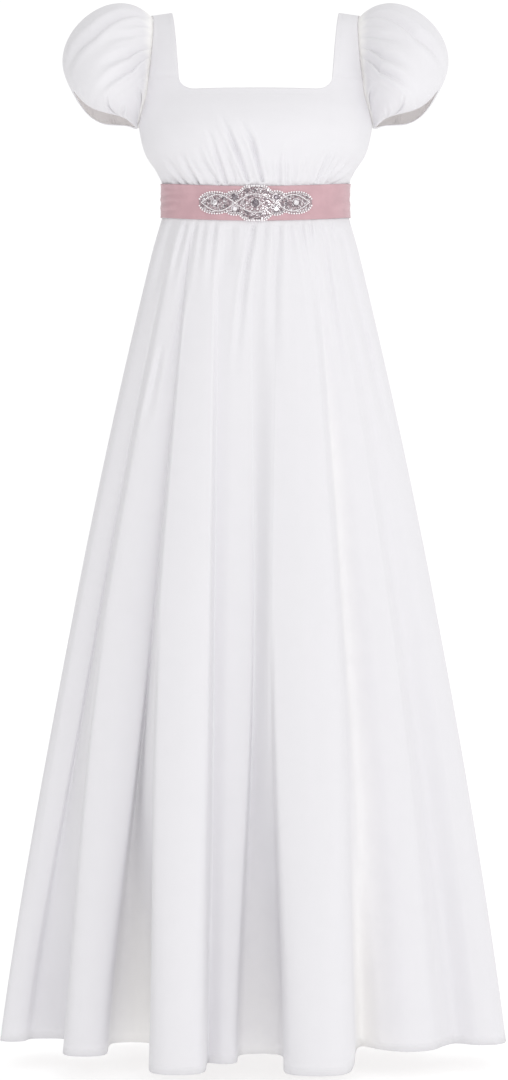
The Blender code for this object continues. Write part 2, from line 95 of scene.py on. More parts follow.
FLOOR_REACH, FLOOR_BELOW_HEM = 30.0, 0.03
floor_mesh = bpy.data.meshes.new("floor")
bm = bmesh.new()
bmesh.ops.create_grid(bm, x_segments=1, y_segments=1, size=FLOOR_REACH)
bmesh.ops.translate(bm, verts=bm.verts, vec=(0.0, 0.0, cad_box[0][2] - FLOOR_BELOW_HEM))
bm.to_mesh(floor_mesh)
bm.free()
floor = bpy.data.objects.new("floor", floor_mesh)
scene.collection.objects.link(floor)
floor_paint = bpy.data.materials.new("floor_paint")
floor_paint.use_nodes = True
paint = floor_paint.node_tree.nodes["Principled BSDF"].inputs
paint["Base Color"].default_value = (0.5, 0.5, 0.5, 1)
paint["Roughness"].default_value = 0.9
paint["Emission Color"].default_value = (1, 1, 1, 1)
paint["Emission Strength"].default_value = 0.62
floor_mesh.materials.append(floor_paint)


def soft_lamp(name, place, aim, size, watts):
    """A square softbox at a place, turned towards the point that it lights."""
    lamp = bpy.data.lights.new(name, "AREA")
    lamp.shape, lamp.size, lamp.energy = "SQUARE", size, watts
    holder = bpy.data.objects.new(name, lamp)
    holder.location = place
    holder.rotation_euler = (Vector(aim) - Vector(place)).to_track_quat("-Z", "Y").to_euler()
    scene.collection.objects.link(holder)


soft_lamp("key_softbox", (0.9, -3.2, 0.5), aim=(0.0, 0.0, -0.2), size=1.0, watts=11.0)
soft_lamp("low_softbox", (-0.1, -3.9, -0.7), aim=(0.0, 0.0, -0.4), size=1.0, watts=4.0)

# The photograph is 1080 pixels high, and its focal length was worked out in the same pixels
PHOTO_HEIGHT, FOCAL_LENGTH, SENSOR = 1080.0, 3286.0, 36.0
lens = bpy.data.cameras.new("camera")
lens.sensor_width, lens.lens = SENSOR, SENSOR * FOCAL_LENGTH / PHOTO_HEIGHT
camera = bpy.data.objects.new("camera", lens)
camera.location = (-0.0021, -4.6, -0.7364)
camera.rotation_euler = (math.radians(90.0), 0.0, 0.0)
scene.collection.objects.link(camera)
scene.camera = camera


# Bodice front: one panel of white jersey cut in one with its two straps. The cloth is eased
# into the waist seam with gathers that fan up under the bust. It is fitted over a general
# figure, given here by its horizontal sections; the neckline and armholes are turned edges.
CLOTH = 0.0009
MM_IN_A_METRE = 1000
WAIST_LEVEL, WAIST_DIP = -0.2575, 0.018
SASH_HEIGHT = 0.047
UNDERARM_LEVEL = -0.16
SECTIONS = np.array((
    # level, half width, front, back, squareness
    (-0.33, 0.132, 0.101, 0.096, 2.1),
    (-0.28, 0.13, 0.1, 0.095, 2.1),
    (-0.255, 0.1298, 0.101, 0.0952, 2.1),
    (-0.237, 0.1306, 0.1085, 0.096, 2.15),
    (-0.221, 0.1382, 0.1185, 0.0975, 2.2),
    (-0.199, 0.1526, 0.129, 0.101, 2.3),
    (-0.17, 0.161, 0.1345, 0.106, 2.35),
    (-0.145, 0.164, 0.1275, 0.109, 2.35),
    (-0.119, 0.1655, 0.113, 0.11, 2.35),
    (-0.085, 0.166, 0.103, 0.109, 2.35),
))
# Levels of the neckline and of the strap's foot, then x of the neckline's corner and of the
# strap's two edges
FRONT_NECK = {"neck": -0.1187, "strap": -0.1, "flat": 0.082, "inner": 0.1055, "outer": 0.148}
BUST_GATHERS = (
    # in mm: x and level at the sash, at the bend and at the free end, depth, half width
    (-101.5, -249, -121.1, -230, -139.1, -214, 2.3, 2.2),
    (-94, -248, -111.3, -227, -129.9, -204, 4.6, 2.1),
    (-85.2, -248, -102.5, -228, -118.5, -209, 2.1, 2),
    (-78.6, -248, -93.3, -226, -107, -200, 4.9, 2.2),
    (-59, -246, -73.7, -221, -90.7, -193, 1.8, 2),
    (-52.5, -247, -69.8, -221, -83.5, -191, 4.1, 2.2),
    (-40.4, -246, -53.5, -211, -67.9, -170, 4.1, 2.2),
    (-28, -244, -34.5, -226, -45, -203, 2.1, 2),
    (-10.5, -244, -36.2, -183, -53.5, -148, 5.7, 2.4),
    (-5.1, -242, -18.2, -214, -35.2, -186, 1.8, 2.4),
    (9.5, -244, -5.1, -194, -28, -155, 5.7, 2.5),
    (15.1, -242, 10.5, -224, 2.4, -203, 1.8, 2.2),
    (32.4, -247, 31.8, -227, 32.8, -204, 2.1, 1.9),
    (43.2, -247, 42.5, -221, 45.8, -192, 2.5, 2.4),
    (52, -246, 49.7, -214, 53, -176, 1.8, 3.9),
    (60.8, -246, 65.1, -227, 73.3, -206, 1.8, 2.2),
    (73.3, -245, 80.4, -224, 89.6, -201, 1.6, 2.2),
    (84.7, -243, 96.8, -217, 111.8, -190, 4.1, 2.1),
    (90.2, -244, 105.9, -219, 121.6, -192, 4.3, 2.1),
    (96.1, -245, 115.7, -217, 130.4, -190, 4.3, 2.1),
    (100, -245, 121.6, -225, 137.9, -201, 4.1, 2.1),
    (103.3, -247, 123.9, -234, 141.8, -219, 2.8, 2),
)


def smooth_step(low, high, value):
    """A soft step from 0 at low to 1 at high."""
    share = np.clip((value - low) / (high - low), 0.0, 1.0)
    return share * share * (3 - 2 * share)


def smooth_curve(knots, values, at):
    """A smooth curve through values at knots, read at other places."""
    at = np.clip(at, knots[0], knots[-1])
    slopes = np.gradient(values, knots, axis=0)
    i = np.clip(np.searchsorted(knots, at) - 1, 0, len(knots) - 2)
    step = (knots[i + 1] - knots[i])[..., None]
    after = (at - knots[i])[..., None] / step
    before = 1 - after
    return (
        values[i] * before**2 * (1 + 2 * after)
        + values[i + 1] * after**2 * (3 - 2 * after)
        + slopes[i] * step * after * before**2
        - slopes[i + 1] * step * before * after**2
    )


def section_at(level):
    """Half width, front, back and squareness of the figure at each level."""
    sizes = smooth_curve(SECTIONS[:, 0], SECTIONS[:, 1:], np.asarray(level, float))
    return np.moveaxis(sizes, -1, 0)


def on_body(angle, level, out=0.0):
    """Points on the figure, moved straight out by out metres."""
    angle, level, out = np.broadcast_arrays(angle, level, out)
    half_width, front, back, squareness = section_at(level)
    depth = np.where(np.cos(angle) > 0, front, back)
    x = half_width * np.sign(np.sin(angle)) * np.abs(np.sin(angle)) ** (2 / squareness)
    y = -depth * np.sign(np.cos(angle)) * np.abs(np.cos(angle)) ** (2 / squareness)
    lean = np.stack([x / half_width**2, y / depth**2, np.zeros_like(x)], -1)
    lean /= np.linalg.norm(lean, axis=-1, keepdims=True)
    return np.stack([x, y, level], -1) + lean * out[..., None]


def angle_at(x, level):
    """The angle at which the front of the figure reaches x."""
    half_width, _, _, squareness = section_at(level)
    return np.sign(x) * np.arcsin(np.minimum(np.abs(x) / half_width, 1) ** (squareness / 2))


def seam_level(angle):
    """The waist seam dips at the centre front."""
    return WAIST_LEVEL - WAIST_DIP * ((1 + np.cos(angle)) / 2) ** 2


def bodice_edge(neck, counts):
    """Angle and top level of each column of a bodice panel, from its right side to its left."""
    across, corner, strap, armhole = (np.linspace(0, 1, count + 1) for count in counts)
    base = neck["strap"]
    x = [neck["flat"] * across]
    top = [np.full(len(across), neck["neck"])]
    turn = corner[1:] * math.pi / 2
    x.append(neck["flat"] + (neck["inner"] - neck["flat"]) * np.sin(turn))
    top.append(neck["neck"] + (base - neck["neck"]) * (1 - np.cos(turn)))
    x.append(neck["inner"] + (neck["outer"] - neck["inner"]) * strap[1:])
    top.append(np.full(len(strap) - 1, base))
    angle = angle_at(np.concatenate(x), base)
    turn = armhole[1:] * math.pi / 2
    power = section_at(base)[3] / 2
    falling = np.arccos(np.cos(angle[-1]) * np.maximum(np.cos(turn), 0) ** power)
    angle = np.concatenate([angle, falling])
    top = np.concatenate([*top, base + (UNDERARM_LEVEL - base) * np.sin(turn)])
    return np.concatenate([-angle[:0:-1], angle]), np.concatenate([top[:0:-1], top])


# How much wider a crease is at its free end, and how high and how far out its ridges are, as
# shares of its depth and of its half width
CREASE_SPREAD = 0.6
RIDGE_HEIGHT, RIDGE_PLACE = 0.4, 2.1
OUT_OF_REACH = 9.0


def creases(across, down, table):
    """How far soft creases move the cloth in. Each runs from its held end round a bend to its
    free end, where it fades out, and is a trough with a low ridge along each side."""
    moved = np.zeros(np.broadcast(across, down).shape)
    for x0, z0, x1, z1, x2, z2, depth, half_width in table:
        first, second = math.hypot(x1 - x0, z1 - z0), math.hypot(x2 - x1, z2 - z1)
        away = np.full(moved.shape, OUT_OF_REACH)
        along = np.zeros(moved.shape)
        for x, z, to_x, to_z, before, length in (
            (x0, z0, x1, z1, 0.0, first),
            (x1, z1, x2, z2, first, second),
        ):
            share = ((across - x) * (to_x - x) + (down - z) * (to_z - z)) / length**2
            share = np.clip(share, 0, 1)
            apart = np.hypot(across - x - share * (to_x - x), down - z - share * (to_z - z))
            along = np.where(apart < away, (before + share * length) / (first + second), along)
            away = np.minimum(apart, away)
        away = away / (half_width * (1 + CREASE_SPREAD * along))
        strength = smooth_step(-0.2, 0.06, along) * (1 - smooth_step(0.35, 1.0, along))
        ridge = RIDGE_HEIGHT * np.exp(-((away - RIDGE_PLACE) ** 2))
        moved += depth * strength * (np.exp(-(away**2)) - ridge)
    return moved


def puckers(places, centres, reach, seed, held, widths=(0.0018, 0.0028), depths=(0.0005, 0.0012)):
    """Fine irregular gathers that are held at a seam and die away with distance from it."""
    chance = np.random.default_rng(seed)
    moved = np.zeros(np.broadcast(places, held).shape)
    for centre in centres:
        centre += chance.uniform(-0.3, 0.3) * (centres[1] - centres[0])
        width, depth = chance.uniform(*widths), chance.uniform(*depths)
        dying = chance.uniform(*reach)
        dip = np.exp(-(((places - centre) / width) ** 2))
        moved += depth * dip * np.exp(-((held / dying) ** 2))
    return moved


# The straps arch over the shoulder, where each runs from SHOULDER_INNER to SHOULDER_OUTER. Half
# way up, the outer edge is at STRAP_MIDDLE
ARCH, SHOULDER_DROP = 0.14, 0.004
SHOULDER_INNER, SHOULDER_WIDTH, SHOULDER_OUTER = 0.118, 0.028, 0.146
STRAP_MIDDLE = 0.1415


def strap_points(neck, facing, rows, columns):
    """A strap at +X, from its foot on the panel over to the shoulder seam."""
    foot_turn = math.asin(1 + neck["strap"] / ARCH)
    turn = np.linspace(foot_turn, math.pi / 2, rows)[:, None]
    across = np.linspace(0, 1, columns)[None, :]
    share = (turn - foot_turn) / (math.pi / 2 - foot_turn)
    foot_x = neck["inner"] + (neck["outer"] - neck["inner"]) * across
    top_x = SHOULDER_INNER + SHOULDER_WIDTH * across
    narrow = (STRAP_MIDDLE - (neck["outer"] + SHOULDER_OUTER) / 2) * across
    x = foot_x + (top_x - foot_x) * share + 4 * narrow * share * (1 - share)
    half_width, front, back, squareness = section_at(neck["strap"])
    curve = (1 - (foot_x / half_width) ** squareness) ** (1 / squareness)
    depth = front if facing < 0 else back
    y = facing * depth * np.cos(turn) / math.cos(foot_turn) * curve ** np.cos(turn)
    z = ARCH * (np.sin(turn) - 1) - SHOULDER_DROP * across * smooth_step(0, 1, share)
    y[-1] = 0.0
    return np.stack([x, y, z], -1)


def flat_places(points):
    """Where each point of a grid lies on the flat cloth, in metres from the top middle."""
    across = np.linalg.norm(np.diff(points, axis=1), axis=-1)
    across = np.concatenate([np.zeros((len(points), 1)), np.cumsum(across, axis=1)], axis=1)
    across -= across[:, across.shape[1] // 2][:, None]
    down = np.linalg.norm(np.diff(points, axis=0), axis=-1).mean(axis=1)
    down = np.concatenate([[0], np.cumsum(down)])[:, None]
    return np.stack([across, np.broadcast_to(down, across.shape), np.zeros_like(across)], -1)


def cloth(name, right_side, wrong_side, *grids):
    """A thin piece of cloth from grids of points. Each grid is its points, how much painted light
    each gets deep in a fold, from 0 to 1, and its distance from the finished edge in metres."""
    bm = bmesh.new()
    flat = bm.verts.layers.float_vector.new("flat")
    recess = bm.verts.layers.float.new("recess")
    edge = bm.verts.layers.float.new("edge")
    for points, deep, from_edge in grids:
        rows, columns = points.shape[:2]
        lie = flat_places(points)
        deep = np.broadcast_to(deep, (rows, columns))
        from_edge = np.broadcast_to(from_edge, (rows, columns))
        made = bmesh.ops.create_grid(bm, x_segments=columns - 1, y_segments=rows - 1, size=0.5)
        for vert in made["verts"]:
            row = round((vert.co.y + 0.5) * (rows - 1))
            column = round((vert.co.x + 0.5) * (columns - 1))
            vert[flat] = lie[row, column]
            vert[recess] = deep[row, column]
            vert[edge] = from_edge[row, column]
            vert.co = points[row, column]
    bmesh.ops.remove_doubles(bm, verts=bm.verts, dist=1e-6)
    bmesh.ops.recalc_face_normals(bm, faces=bm.faces)
    mesh = bpy.data.meshes.new(name)
    bm.to_mesh(mesh)
    bm.free()
    mesh.shade_smooth()
    mesh.materials.append(right_side)
    mesh.materials.append(wrong_side)
    piece = bpy.data.objects.new(name, mesh)
    scene.collection.objects.link(piece)
    wall = piece.modifiers.new("wall", "SOLIDIFY")
    wall.thickness, wall.offset, wall.material_offset = CLOTH, 0.0, 1
    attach(piece, "root")
    return piece


class Value:
    """A shader output that takes part in Python expressions."""

    def __init__(self, finish, socket):
        self.finish, self.socket = finish, socket

    def __add__(self, other):
        return self.finish.math("ADD", self, other)

    def __sub__(self, other):
        return self.finish.math("SUBTRACT", self, other)

    def __rsub__(self, other):
        return self.finish.math("SUBTRACT", other, self)

    def __mul__(self, other):
        return self.finish.math("MULTIPLY", self, other)

    __radd__, __rmul__ = __add__, __mul__


class Finish:
    """A material and the one way in which its nodes are made."""

    def __init__(self, name):
        self.material = bpy.data.materials.new(name)
        self.material.use_nodes = True
        self.nodes = self.material.node_tree.nodes
        self.links = self.material.node_tree.links
        self.shader = self.nodes["Principled BSDF"]

    def feed(self, socket, value):
        """Links another node's output to a socket, or sets the socket to a constant."""
        if isinstance(value, Value):
            self.links.new(value.socket, socket)
        else:
            socket.default_value = value

    def node(self, kind, settings, inputs, output=0):
        """Makes a node and gives one of its outputs."""
        made = self.nodes.new("ShaderNode" + kind)
        for key, value in settings.items():
            setattr(made, key, value)
        for key, value in inputs.items():
            self.feed(made.inputs[key], value)
        return Value(self, made.outputs[output])

    def math(self, operation, *values):
        return self.node("Math", {"operation": operation}, dict(enumerate(values)))

    def ramp(self, value, low, high):
        """0 below low, 1 above high, and a soft step between."""
        settings = {"interpolation_type": "SMOOTHSTEP"}
        return self.node("MapRange", settings, {"Value": value, "From Min": low, "From Max": high})

    def noise(self, place, scale, detail):
        return self.node("TexNoise", {}, {"Vector": place, "Scale": scale, "Detail": detail})

    def blend(self, share, first, second):
        return self.node("Mix", {"data_type": "RGBA"}, {0: share, 6: first, 7: second}, 2)

    def set(self, **values):
        """Feeds sockets of the shader, named in lower case with underscores."""
        for key, value in values.items():
            self.feed(self.shader.inputs[key.replace("_", " ").title()], value)


WALE_PITCH, STITCH_PITCH, HEM_STITCHES = 0.0011, 0.0008, 0.009


def jersey(name, white, fold_light, glow):
    """Fine white jersey: soft wales that run down the cloth, and painted light deep in folds, a
    lighter and warmer colour. The glow is a painted glow, standing in for the little light that
    comes through the cloth to its wrong side."""
    finish = Finish(name)
    lie = finish.node("Attribute", {"attribute_name": "flat"}, {}, 1)
    deep = finish.node("Attribute", {"attribute_name": "recess"}, {}, 2)
    edge = finish.node("Attribute", {"attribute_name": "edge"}, {}, 2)
    place = finish.node("TexCoord", {}, {}, 3)
    across = finish.node("SeparateXYZ", {}, {0: lie}, 0)
    down = finish.node("SeparateXYZ", {}, {0: lie}, 1)
    wale = finish.math("SINE", across * (2 * math.pi / WALE_PITCH))
    looped = finish.math("ABSOLUTE", wale) * 1.6
    stitch = finish.math("SINE", down * (2 * math.pi / STITCH_PITCH) + looped)
    fibre = finish.noise(place, 900.0, 2.0)
    slub = finish.noise(place, 38.0, 3.0)
    # The turned edge is held down by a row of stitches
    line = finish.math("ABSOLUTE", edge - HEM_STITCHES)
    sewn = 1 - finish.ramp(line, 0.0002, 0.0009)
    height = wale * 0.3 + stitch * 0.22 + fibre * 0.5 - sewn * 1.5
    bump = finish.node("Bump", {}, {"Strength": 0.35, "Distance": 0.0003, "Height": height})
    # Deep in the folds the cloth is painted a lighter, warmer colour: painted light in the recesses
    tint = finish.blend(deep, white, fold_light)
    # Slubs darken the cloth a little at random; the result also carries the painted light deep in
    # the folds
    uneven = finish.ramp(slub, 0.35, 0.75) * (1 - deep) * 0.35
    slubs_and_fold_light = finish.blend(uneven, tint, [c * 0.975 for c in white[:3]] + [1])
    finish.set(base_color=slubs_and_fold_light, roughness=0.82 + slub * 0.08, normal=bump)
    finish.shader.inputs["Specular IOR Level"].default_value = 0.25
    finish.set(sheen_weight=0.25, sheen_roughness=0.5)
    # The painted glow: a warm emission that stands in for light through the cloth
    finish.set(emission_color=(1.0, 0.96, 0.95, 1), emission_strength=glow)
    return finish.material


white_jersey = jersey(
    "white_jersey", white=(0.805, 0.795, 0.82, 1), fold_light=(0.975, 0.963, 0.95, 1), glow=0.0
)
# The wrong side is painted lighter and given a painted glow, standing in for light that comes
# through the cloth
jersey_inside = jersey(
    "white_jersey_inside", white=(0.88, 0.86, 0.86, 1), fold_light=(0.88, 0.86, 0.86, 1), glow=0.07
)


STRAP_WIDTH = 0.04
RIDGE_UNDER_SASH, RIDGE_FREE, SASH_HOLDS = 0.0006, 0.004, 0.008


def bodice_panel(name, neck, facing, counts, rows, strap_rows, table, seam_gathers):
    """A bodice panel with its two straps. The counts are its columns over half the neckline,
    the corner, the strap's foot and the armhole."""
    angle, top = bodice_edge(neck, counts)
    if facing > 0:
        angle = math.pi - angle
    rise = np.linspace(0, 1, rows)[:, None]
    level = seam_level(angle) + (top - seam_level(angle)) * rise
    straight = on_body(angle, level)
    over_sash = level - seam_level(angle) - SASH_HEIGHT / 2
    pulled = creases(straight[..., 0], level, np.array(table) / MM_IN_A_METRE)
    pulled += puckers(straight[..., 0], *seam_gathers, over_sash)
    # Under the sash the cloth is pressed flat, so no ridge stands out there
    ridge = RIDGE_UNDER_SASH + RIDGE_FREE * smooth_step(0.0, SASH_HOLDS, over_sash)
    pulled = np.maximum(pulled, -ridge)
    panel = on_body(angle, level, -pulled)
    panel[:, [0, -1], 1] = 0.0
    strap_columns = counts[2] + 1
    foot = sum(counts) + counts[0] + counts[1]
    left_foot = slice(foot, foot + strap_columns)
    strap = strap_points(neck, facing, strap_rows, strap_columns)
    strap_right = strap * (-1, 1, 1)
    strap[0] = panel[-1, left_foot]
    strap_right[0] = panel[-1, ::-1][left_foot]
    strap_edge = np.linspace([0, STRAP_WIDTH], [STRAP_WIDTH, 0], strap_columns).min(axis=1)[None, :]
    panel_edge = top - level
    panel_edge[:, left_foot] += strap_edge
    panel_edge[:, ::-1][:, left_foot] += strap_edge
    grids = ((panel, 0.0, panel_edge), (strap, 0.0, strap_edge), (strap_right, 0.0, strap_edge))
    return cloth(name, white_jersey, jersey_inside, *grids)


bodice_front = bodice_panel(
    "bodice_front_jersey", FRONT_NECK, facing=-1, counts=(105, 10, 22, 30), rows=108,
    strap_rows=40, table=BUST_GATHERS,
    seam_gathers=(np.arange(-0.125, 0.126, 0.0064), (0.008, 0.024), 4),
)
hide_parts("bodice_front")


# Bodice back: plain and fitted, cut in one with its straps and joined to the front at the
# shoulders and sides. Its square neck sits a little higher than the front one.
BACK_NECK = {"neck": -0.104, "strap": -0.088, "flat": 0.094, "inner": 0.115, "outer": 0.148}
BACK_GATHERS = (
    # in mm: x and level at the sash, at the bend and at the free end, depth, half width
    (-102, -236, -110, -219, -123, -200, 2.2, 2.8),
    (-83, -236, -86, -214, -93, -186, 2.4, 3),
    (-56, -236, -60, -210, -69, -176, 2, 3),
    (-33, -236, -32, -221, -35, -200, 1.6, 2.8),
    (-11, -236, -8, -209, -12, -172, 1.8, 3.4),
    (18, -236, 20, -222, 18, -203, 1.5, 2.8),
    (39, -236, 43, -212, 54, -181, 2.2, 3),
    (64, -236, 68, -218, 76, -196, 1.8, 2.8),
    (85, -236, 92, -214, 105, -188, 2.4, 3),
    (104, -236, 112, -222, 126, -206, 2, 2.6),
    (-132, -168, -124, -158, -112, -151, 1.6, 3.6),
    (132, -168, 125, -156, 113, -147, 1.6, 3.6),
)
bodice_back = bodice_panel(
    "bodice_back_jersey", BACK_NECK, facing=1, counts=(60, 8, 16, 22), rows=60,
    strap_rows=30, table=BACK_GATHERS,
    seam_gathers=(np.arange(-0.12, 0.121, 0.0095), (0.008, 0.022), 5),
)
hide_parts("bodice_back")


# Puff sleeves: each is one full, short piece of jersey, gathered into the armhole and drawn in
# again at the cuff, so that it stands out in a soft puff with creases that fan from both edges.
CUFF_CENTRE = np.array((0.213, 0.0, -0.129))
CUFF_SLOPE = math.radians(32.5)
CUFF_HALF_WIDTH, CUFF_HALF_DEPTH = 0.054, 0.055
CUFF_SAG_FRONT, CUFF_SAG_BACK = 0.0145, 0.0178
SEAM_INSET, SEAM_OUT, HEAD_OUT = 0.001, 0.0006, 0.0018
PUFF_LEAST, PUFF_TOP, PUFF_SIDES = 0.001, 0.0565, 0.02
SLEEVE_LENGTH, METRES_PER_DEGREE = 0.16, 0.0014
SLEEVE_COLUMNS, SLEEVE_ROWS = 240, 100
PUFF_CREASES = (
    # degrees of turn and percent of the way to the cuff at the held end, bend and free end,
    # then depth and half width in mm
    (31, 6, 45, 46, 34, 100, 7.9, 4.5),
    (44, -2, 46, 12, 52, 27, 4.3, 2.2),
    (53, -2, 60, 22, 57, 52, 4.9, 2.8),
    (65, -2, 75, 26, 71, 60, 7, 2.8),
    (75, -2, 86, 28, 82, 78, 8.3, 2.8),
    (90, -2, 97, 14, 103, 34, 4.1, 2.4),
    (119, 90, 104, 74, 88, 58, 6.7, 1.8),
    (136, 4, 119, 10, 100, 26, 9.3, 2.8),
    (130, 80, 124, 60, 118, 40, 3.6, 2.8),
    (84, 102, 83, 86, 85, 70, 3.6, 2.4),
    (64, 102, 65, 90, 62, 74, 3, 2.4),
    (48, 102, 50, 90, 55, 78, 2.6, 2.4),
    (26, -2, 26, 10, 25, 26, 4.3, 2.2),
    (36, -2, 35, 9, 35, 20, 4.1, 1.8),
    (10, -2, 13, 26, 12, 60, 4.3, 3.8),
    (-8, -2, -12, 22, -16, 48, 5.4, 3.3),
    (-24, -2, -36, 34, -33, 88, 8.1, 4),
    (-46, -2, -56, 24, -54, 56, 5.7, 2.8),
    (-66, -2, -74, 30, -70, 72, 7, 3),
    (-88, -2, -94, 22, -98, 46, 5.4, 2.8),
    (-118, 90, -100, 72, -84, 56, 6.7, 2.2),
    (-134, 4, -122, 18, -108, 38, 7.7, 3),
    (-72, 102, -70, 86, -66, 68, 3.6, 2.6),
    (-48, 102, -50, 88, -46, 72, 3.3, 2.6),
    (-18, 102, -16, 86, -20, 66, 3.6, 2.8),
)
PUFF_UNITS = (1, 100, 1, 100, 1, 100, MM_IN_A_METRE, MM_IN_A_METRE)


def armhole_half(neck, facing, count):
    """Points of the +X armhole on one panel, from the shoulder top down to the underarm."""
    fine = strap_points(neck, facing, 60, 2)[::-1, 1]
    turn = np.linspace(0, 1, 60)[1:] * math.pi / 2
    start = angle_at(neck["outer"], neck["strap"])
    power = section_at(neck["strap"])[3] / 2
    angle = np.arccos(np.cos(start) * np.maximum(np.cos(turn), 0) ** power)
    level = neck["strap"] + (UNDERARM_LEVEL - neck["strap"]) * np.sin(turn)
    fine = np.concatenate([fine, on_body(angle if facing < 0 else math.pi - angle, level)])
    run = np.concatenate([[0], np.cumsum(np.linalg.norm(np.diff(fine, axis=0), axis=1))])
    even = np.linspace(0, run[-1], count + 1)
    return np.stack([np.interp(even, run, fine[:, i]) for i in range(3)], -1)


def puff_sleeve(seed):
    """A +X sleeve. Its seam runs down the underarm, where its first and last columns meet."""
    half = SLEEVE_COLUMNS // 2
    front = armhole_half(FRONT_NECK, -1, half)
    back = armhole_half(BACK_NECK, 1, half)
    ring = np.concatenate([back[::-1], front[1:]])
    turn = np.linspace(-math.pi, math.pi, SLEEVE_COLUMNS + 1)
    along = np.gradient(ring, axis=0)
    along /= np.linalg.norm(along, axis=1, keepdims=True)
    inward = ring.mean(axis=0) - ring
    inward -= along * (inward * along).sum(axis=1, keepdims=True)
    inward /= np.linalg.norm(inward, axis=1, keepdims=True)
    seam = ring + inward * SEAM_INSET + (SEAM_OUT, 0, 0)
    head = seam + (HEAD_OUT, 0, 0)
    sine, cosine = np.sin(turn), np.cos(turn)
    sag = np.where(sine > 0, CUFF_SAG_FRONT, CUFF_SAG_BACK) * sine**2 * (1 + 1.1 * cosine)
    cuff = CUFF_CENTRE + np.stack([
        math.cos(CUFF_SLOPE) * CUFF_HALF_WIDTH * cosine,
        -CUFF_HALF_DEPTH * sine,
        math.sin(CUFF_SLOPE) * CUFF_HALF_WIDTH * cosine - sag,
    ], -1)
    top_ness = (1 + cosine) / 2
    height = PUFF_LEAST + PUFF_TOP * top_ness + PUFF_SIDES * sine**2
    bulge = np.where(cosine[:, None] > 0, (0.62, 0, 0.78), (-0.1, 0, 0.3)) * cosine[:, None]
    bulge += np.stack([0.25 * np.abs(sine), -sine, np.zeros_like(sine)], -1)
    bulge /= np.linalg.norm(bulge, axis=1, keepdims=True)
    share = np.linspace(0, 1, SLEEVE_ROWS)[:, None]
    arc = math.pi * share
    roundness = smooth_step(0.05, 0.5, top_ness)
    run = share + ((1 - np.cos(arc)) / 2 - share) * roundness
    rise = height * np.sin(arc)
    # The creases are moved about a little on each sleeve, and laid out in metres
    chance = np.random.default_rng(seed)
    table = np.array(PUFF_CREASES) / PUFF_UNITS
    table[:, :6:2] += chance.uniform(-1.5, 1.5, (len(table), 3))
    table[:, 6] *= chance.uniform(0.85, 1.15, len(table))
    table[:, :6:2] *= METRES_PER_DEGREE
    table[:, 1:6:2] *= SLEEVE_LENGTH
    across = np.degrees(turn)[None, :] * METRES_PER_DEGREE
    down, up = share * SLEEVE_LENGTH, (1 - share) * SLEEVE_LENGTH
    moved = creases(across, down, table)
    places = np.arange(-0.24, 0.241, 0.0092)
    fine = {"widths": (0.0022, 0.0034), "depths": (0.0006, 0.0016)}
    moved += puckers(across, places, (0.01, 0.024), seed + 20, down, **fine)
    moved += puckers(across, places, (0.006, 0.014), seed + 40, up, **fine)
    quiet = np.sin(np.clip(arc, 0.02, math.pi - 0.02)) ** 0.25 * smooth_step(0.01, 0.25, top_ness)
    puff = head + (cuff - head) * run[..., None] + bulge * (rise - moved * quiet)[..., None]
    return np.concatenate([seam[None], puff])


# The first row lies in the armhole's seam, further from the cuff than the sleeve is long
cuff_edge = np.concatenate([[0.2], np.linspace(SLEEVE_LENGTH, 0, SLEEVE_ROWS)])[:, None]
# Near the armhole seam the sleeve head is painted lighter: painted light in the groove between
# strap and puff
head_painted_light = 1 - smooth_step(0.0, 0.018, SLEEVE_LENGTH - cuff_edge)
for name, side, seed in (("left", 1, 1), ("right", -1, 2)):
    grid = (puff_sleeve(seed) * (side, 1, 1), head_painted_light, cuff_edge)
    sleeve = cloth("sleeve_" + name + "_jersey", white_jersey, jersey_inside, grid)
    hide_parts("sleeve_" + name)


# Skirt: two flared panels of white jersey that hang from the waist seam under the sash, in
# deep unpressed folds that open towards the hem. Each fold is given by the angles at the
# waist and the places at the hem between which its crest lies, and by how far it stands out.
HEM_LEVEL, HEM_RISE, DROP = -1.445, 0.01, 1.18
HEM_MEAN_DEPTH = 0.155
FRONT_FOLDS = (
    # waist from and to, then in mm: hem x from and to, crest y, y of the valley after it
    (-84, -57, -358, -320, -20, 2),
    (-49, -42, -264, -203, -125, -30),
    (-38, -24, -142, -66, -250, -168),
    (-21, -3, -62, -25, -176, -112),
    (14, 30, 37, 126, -258, -52),
    (36, 45, 168, 250, -92, -50),
    (54, 82, 272, 350, -45, 70),
)
BACK_FOLDS = (
    # the same, going on round the back
    (100, 112, 337, 272, 125, 70),
    (122, 138, 228, 150, 228, 115),
    (146, 166, 105, 34, 268, 150),
    (177, 200, -6, -86, 262, 120),
    (212, 232, -132, -212, 232, 85),
    (245, 259, -262, -334, 132, 45),
)
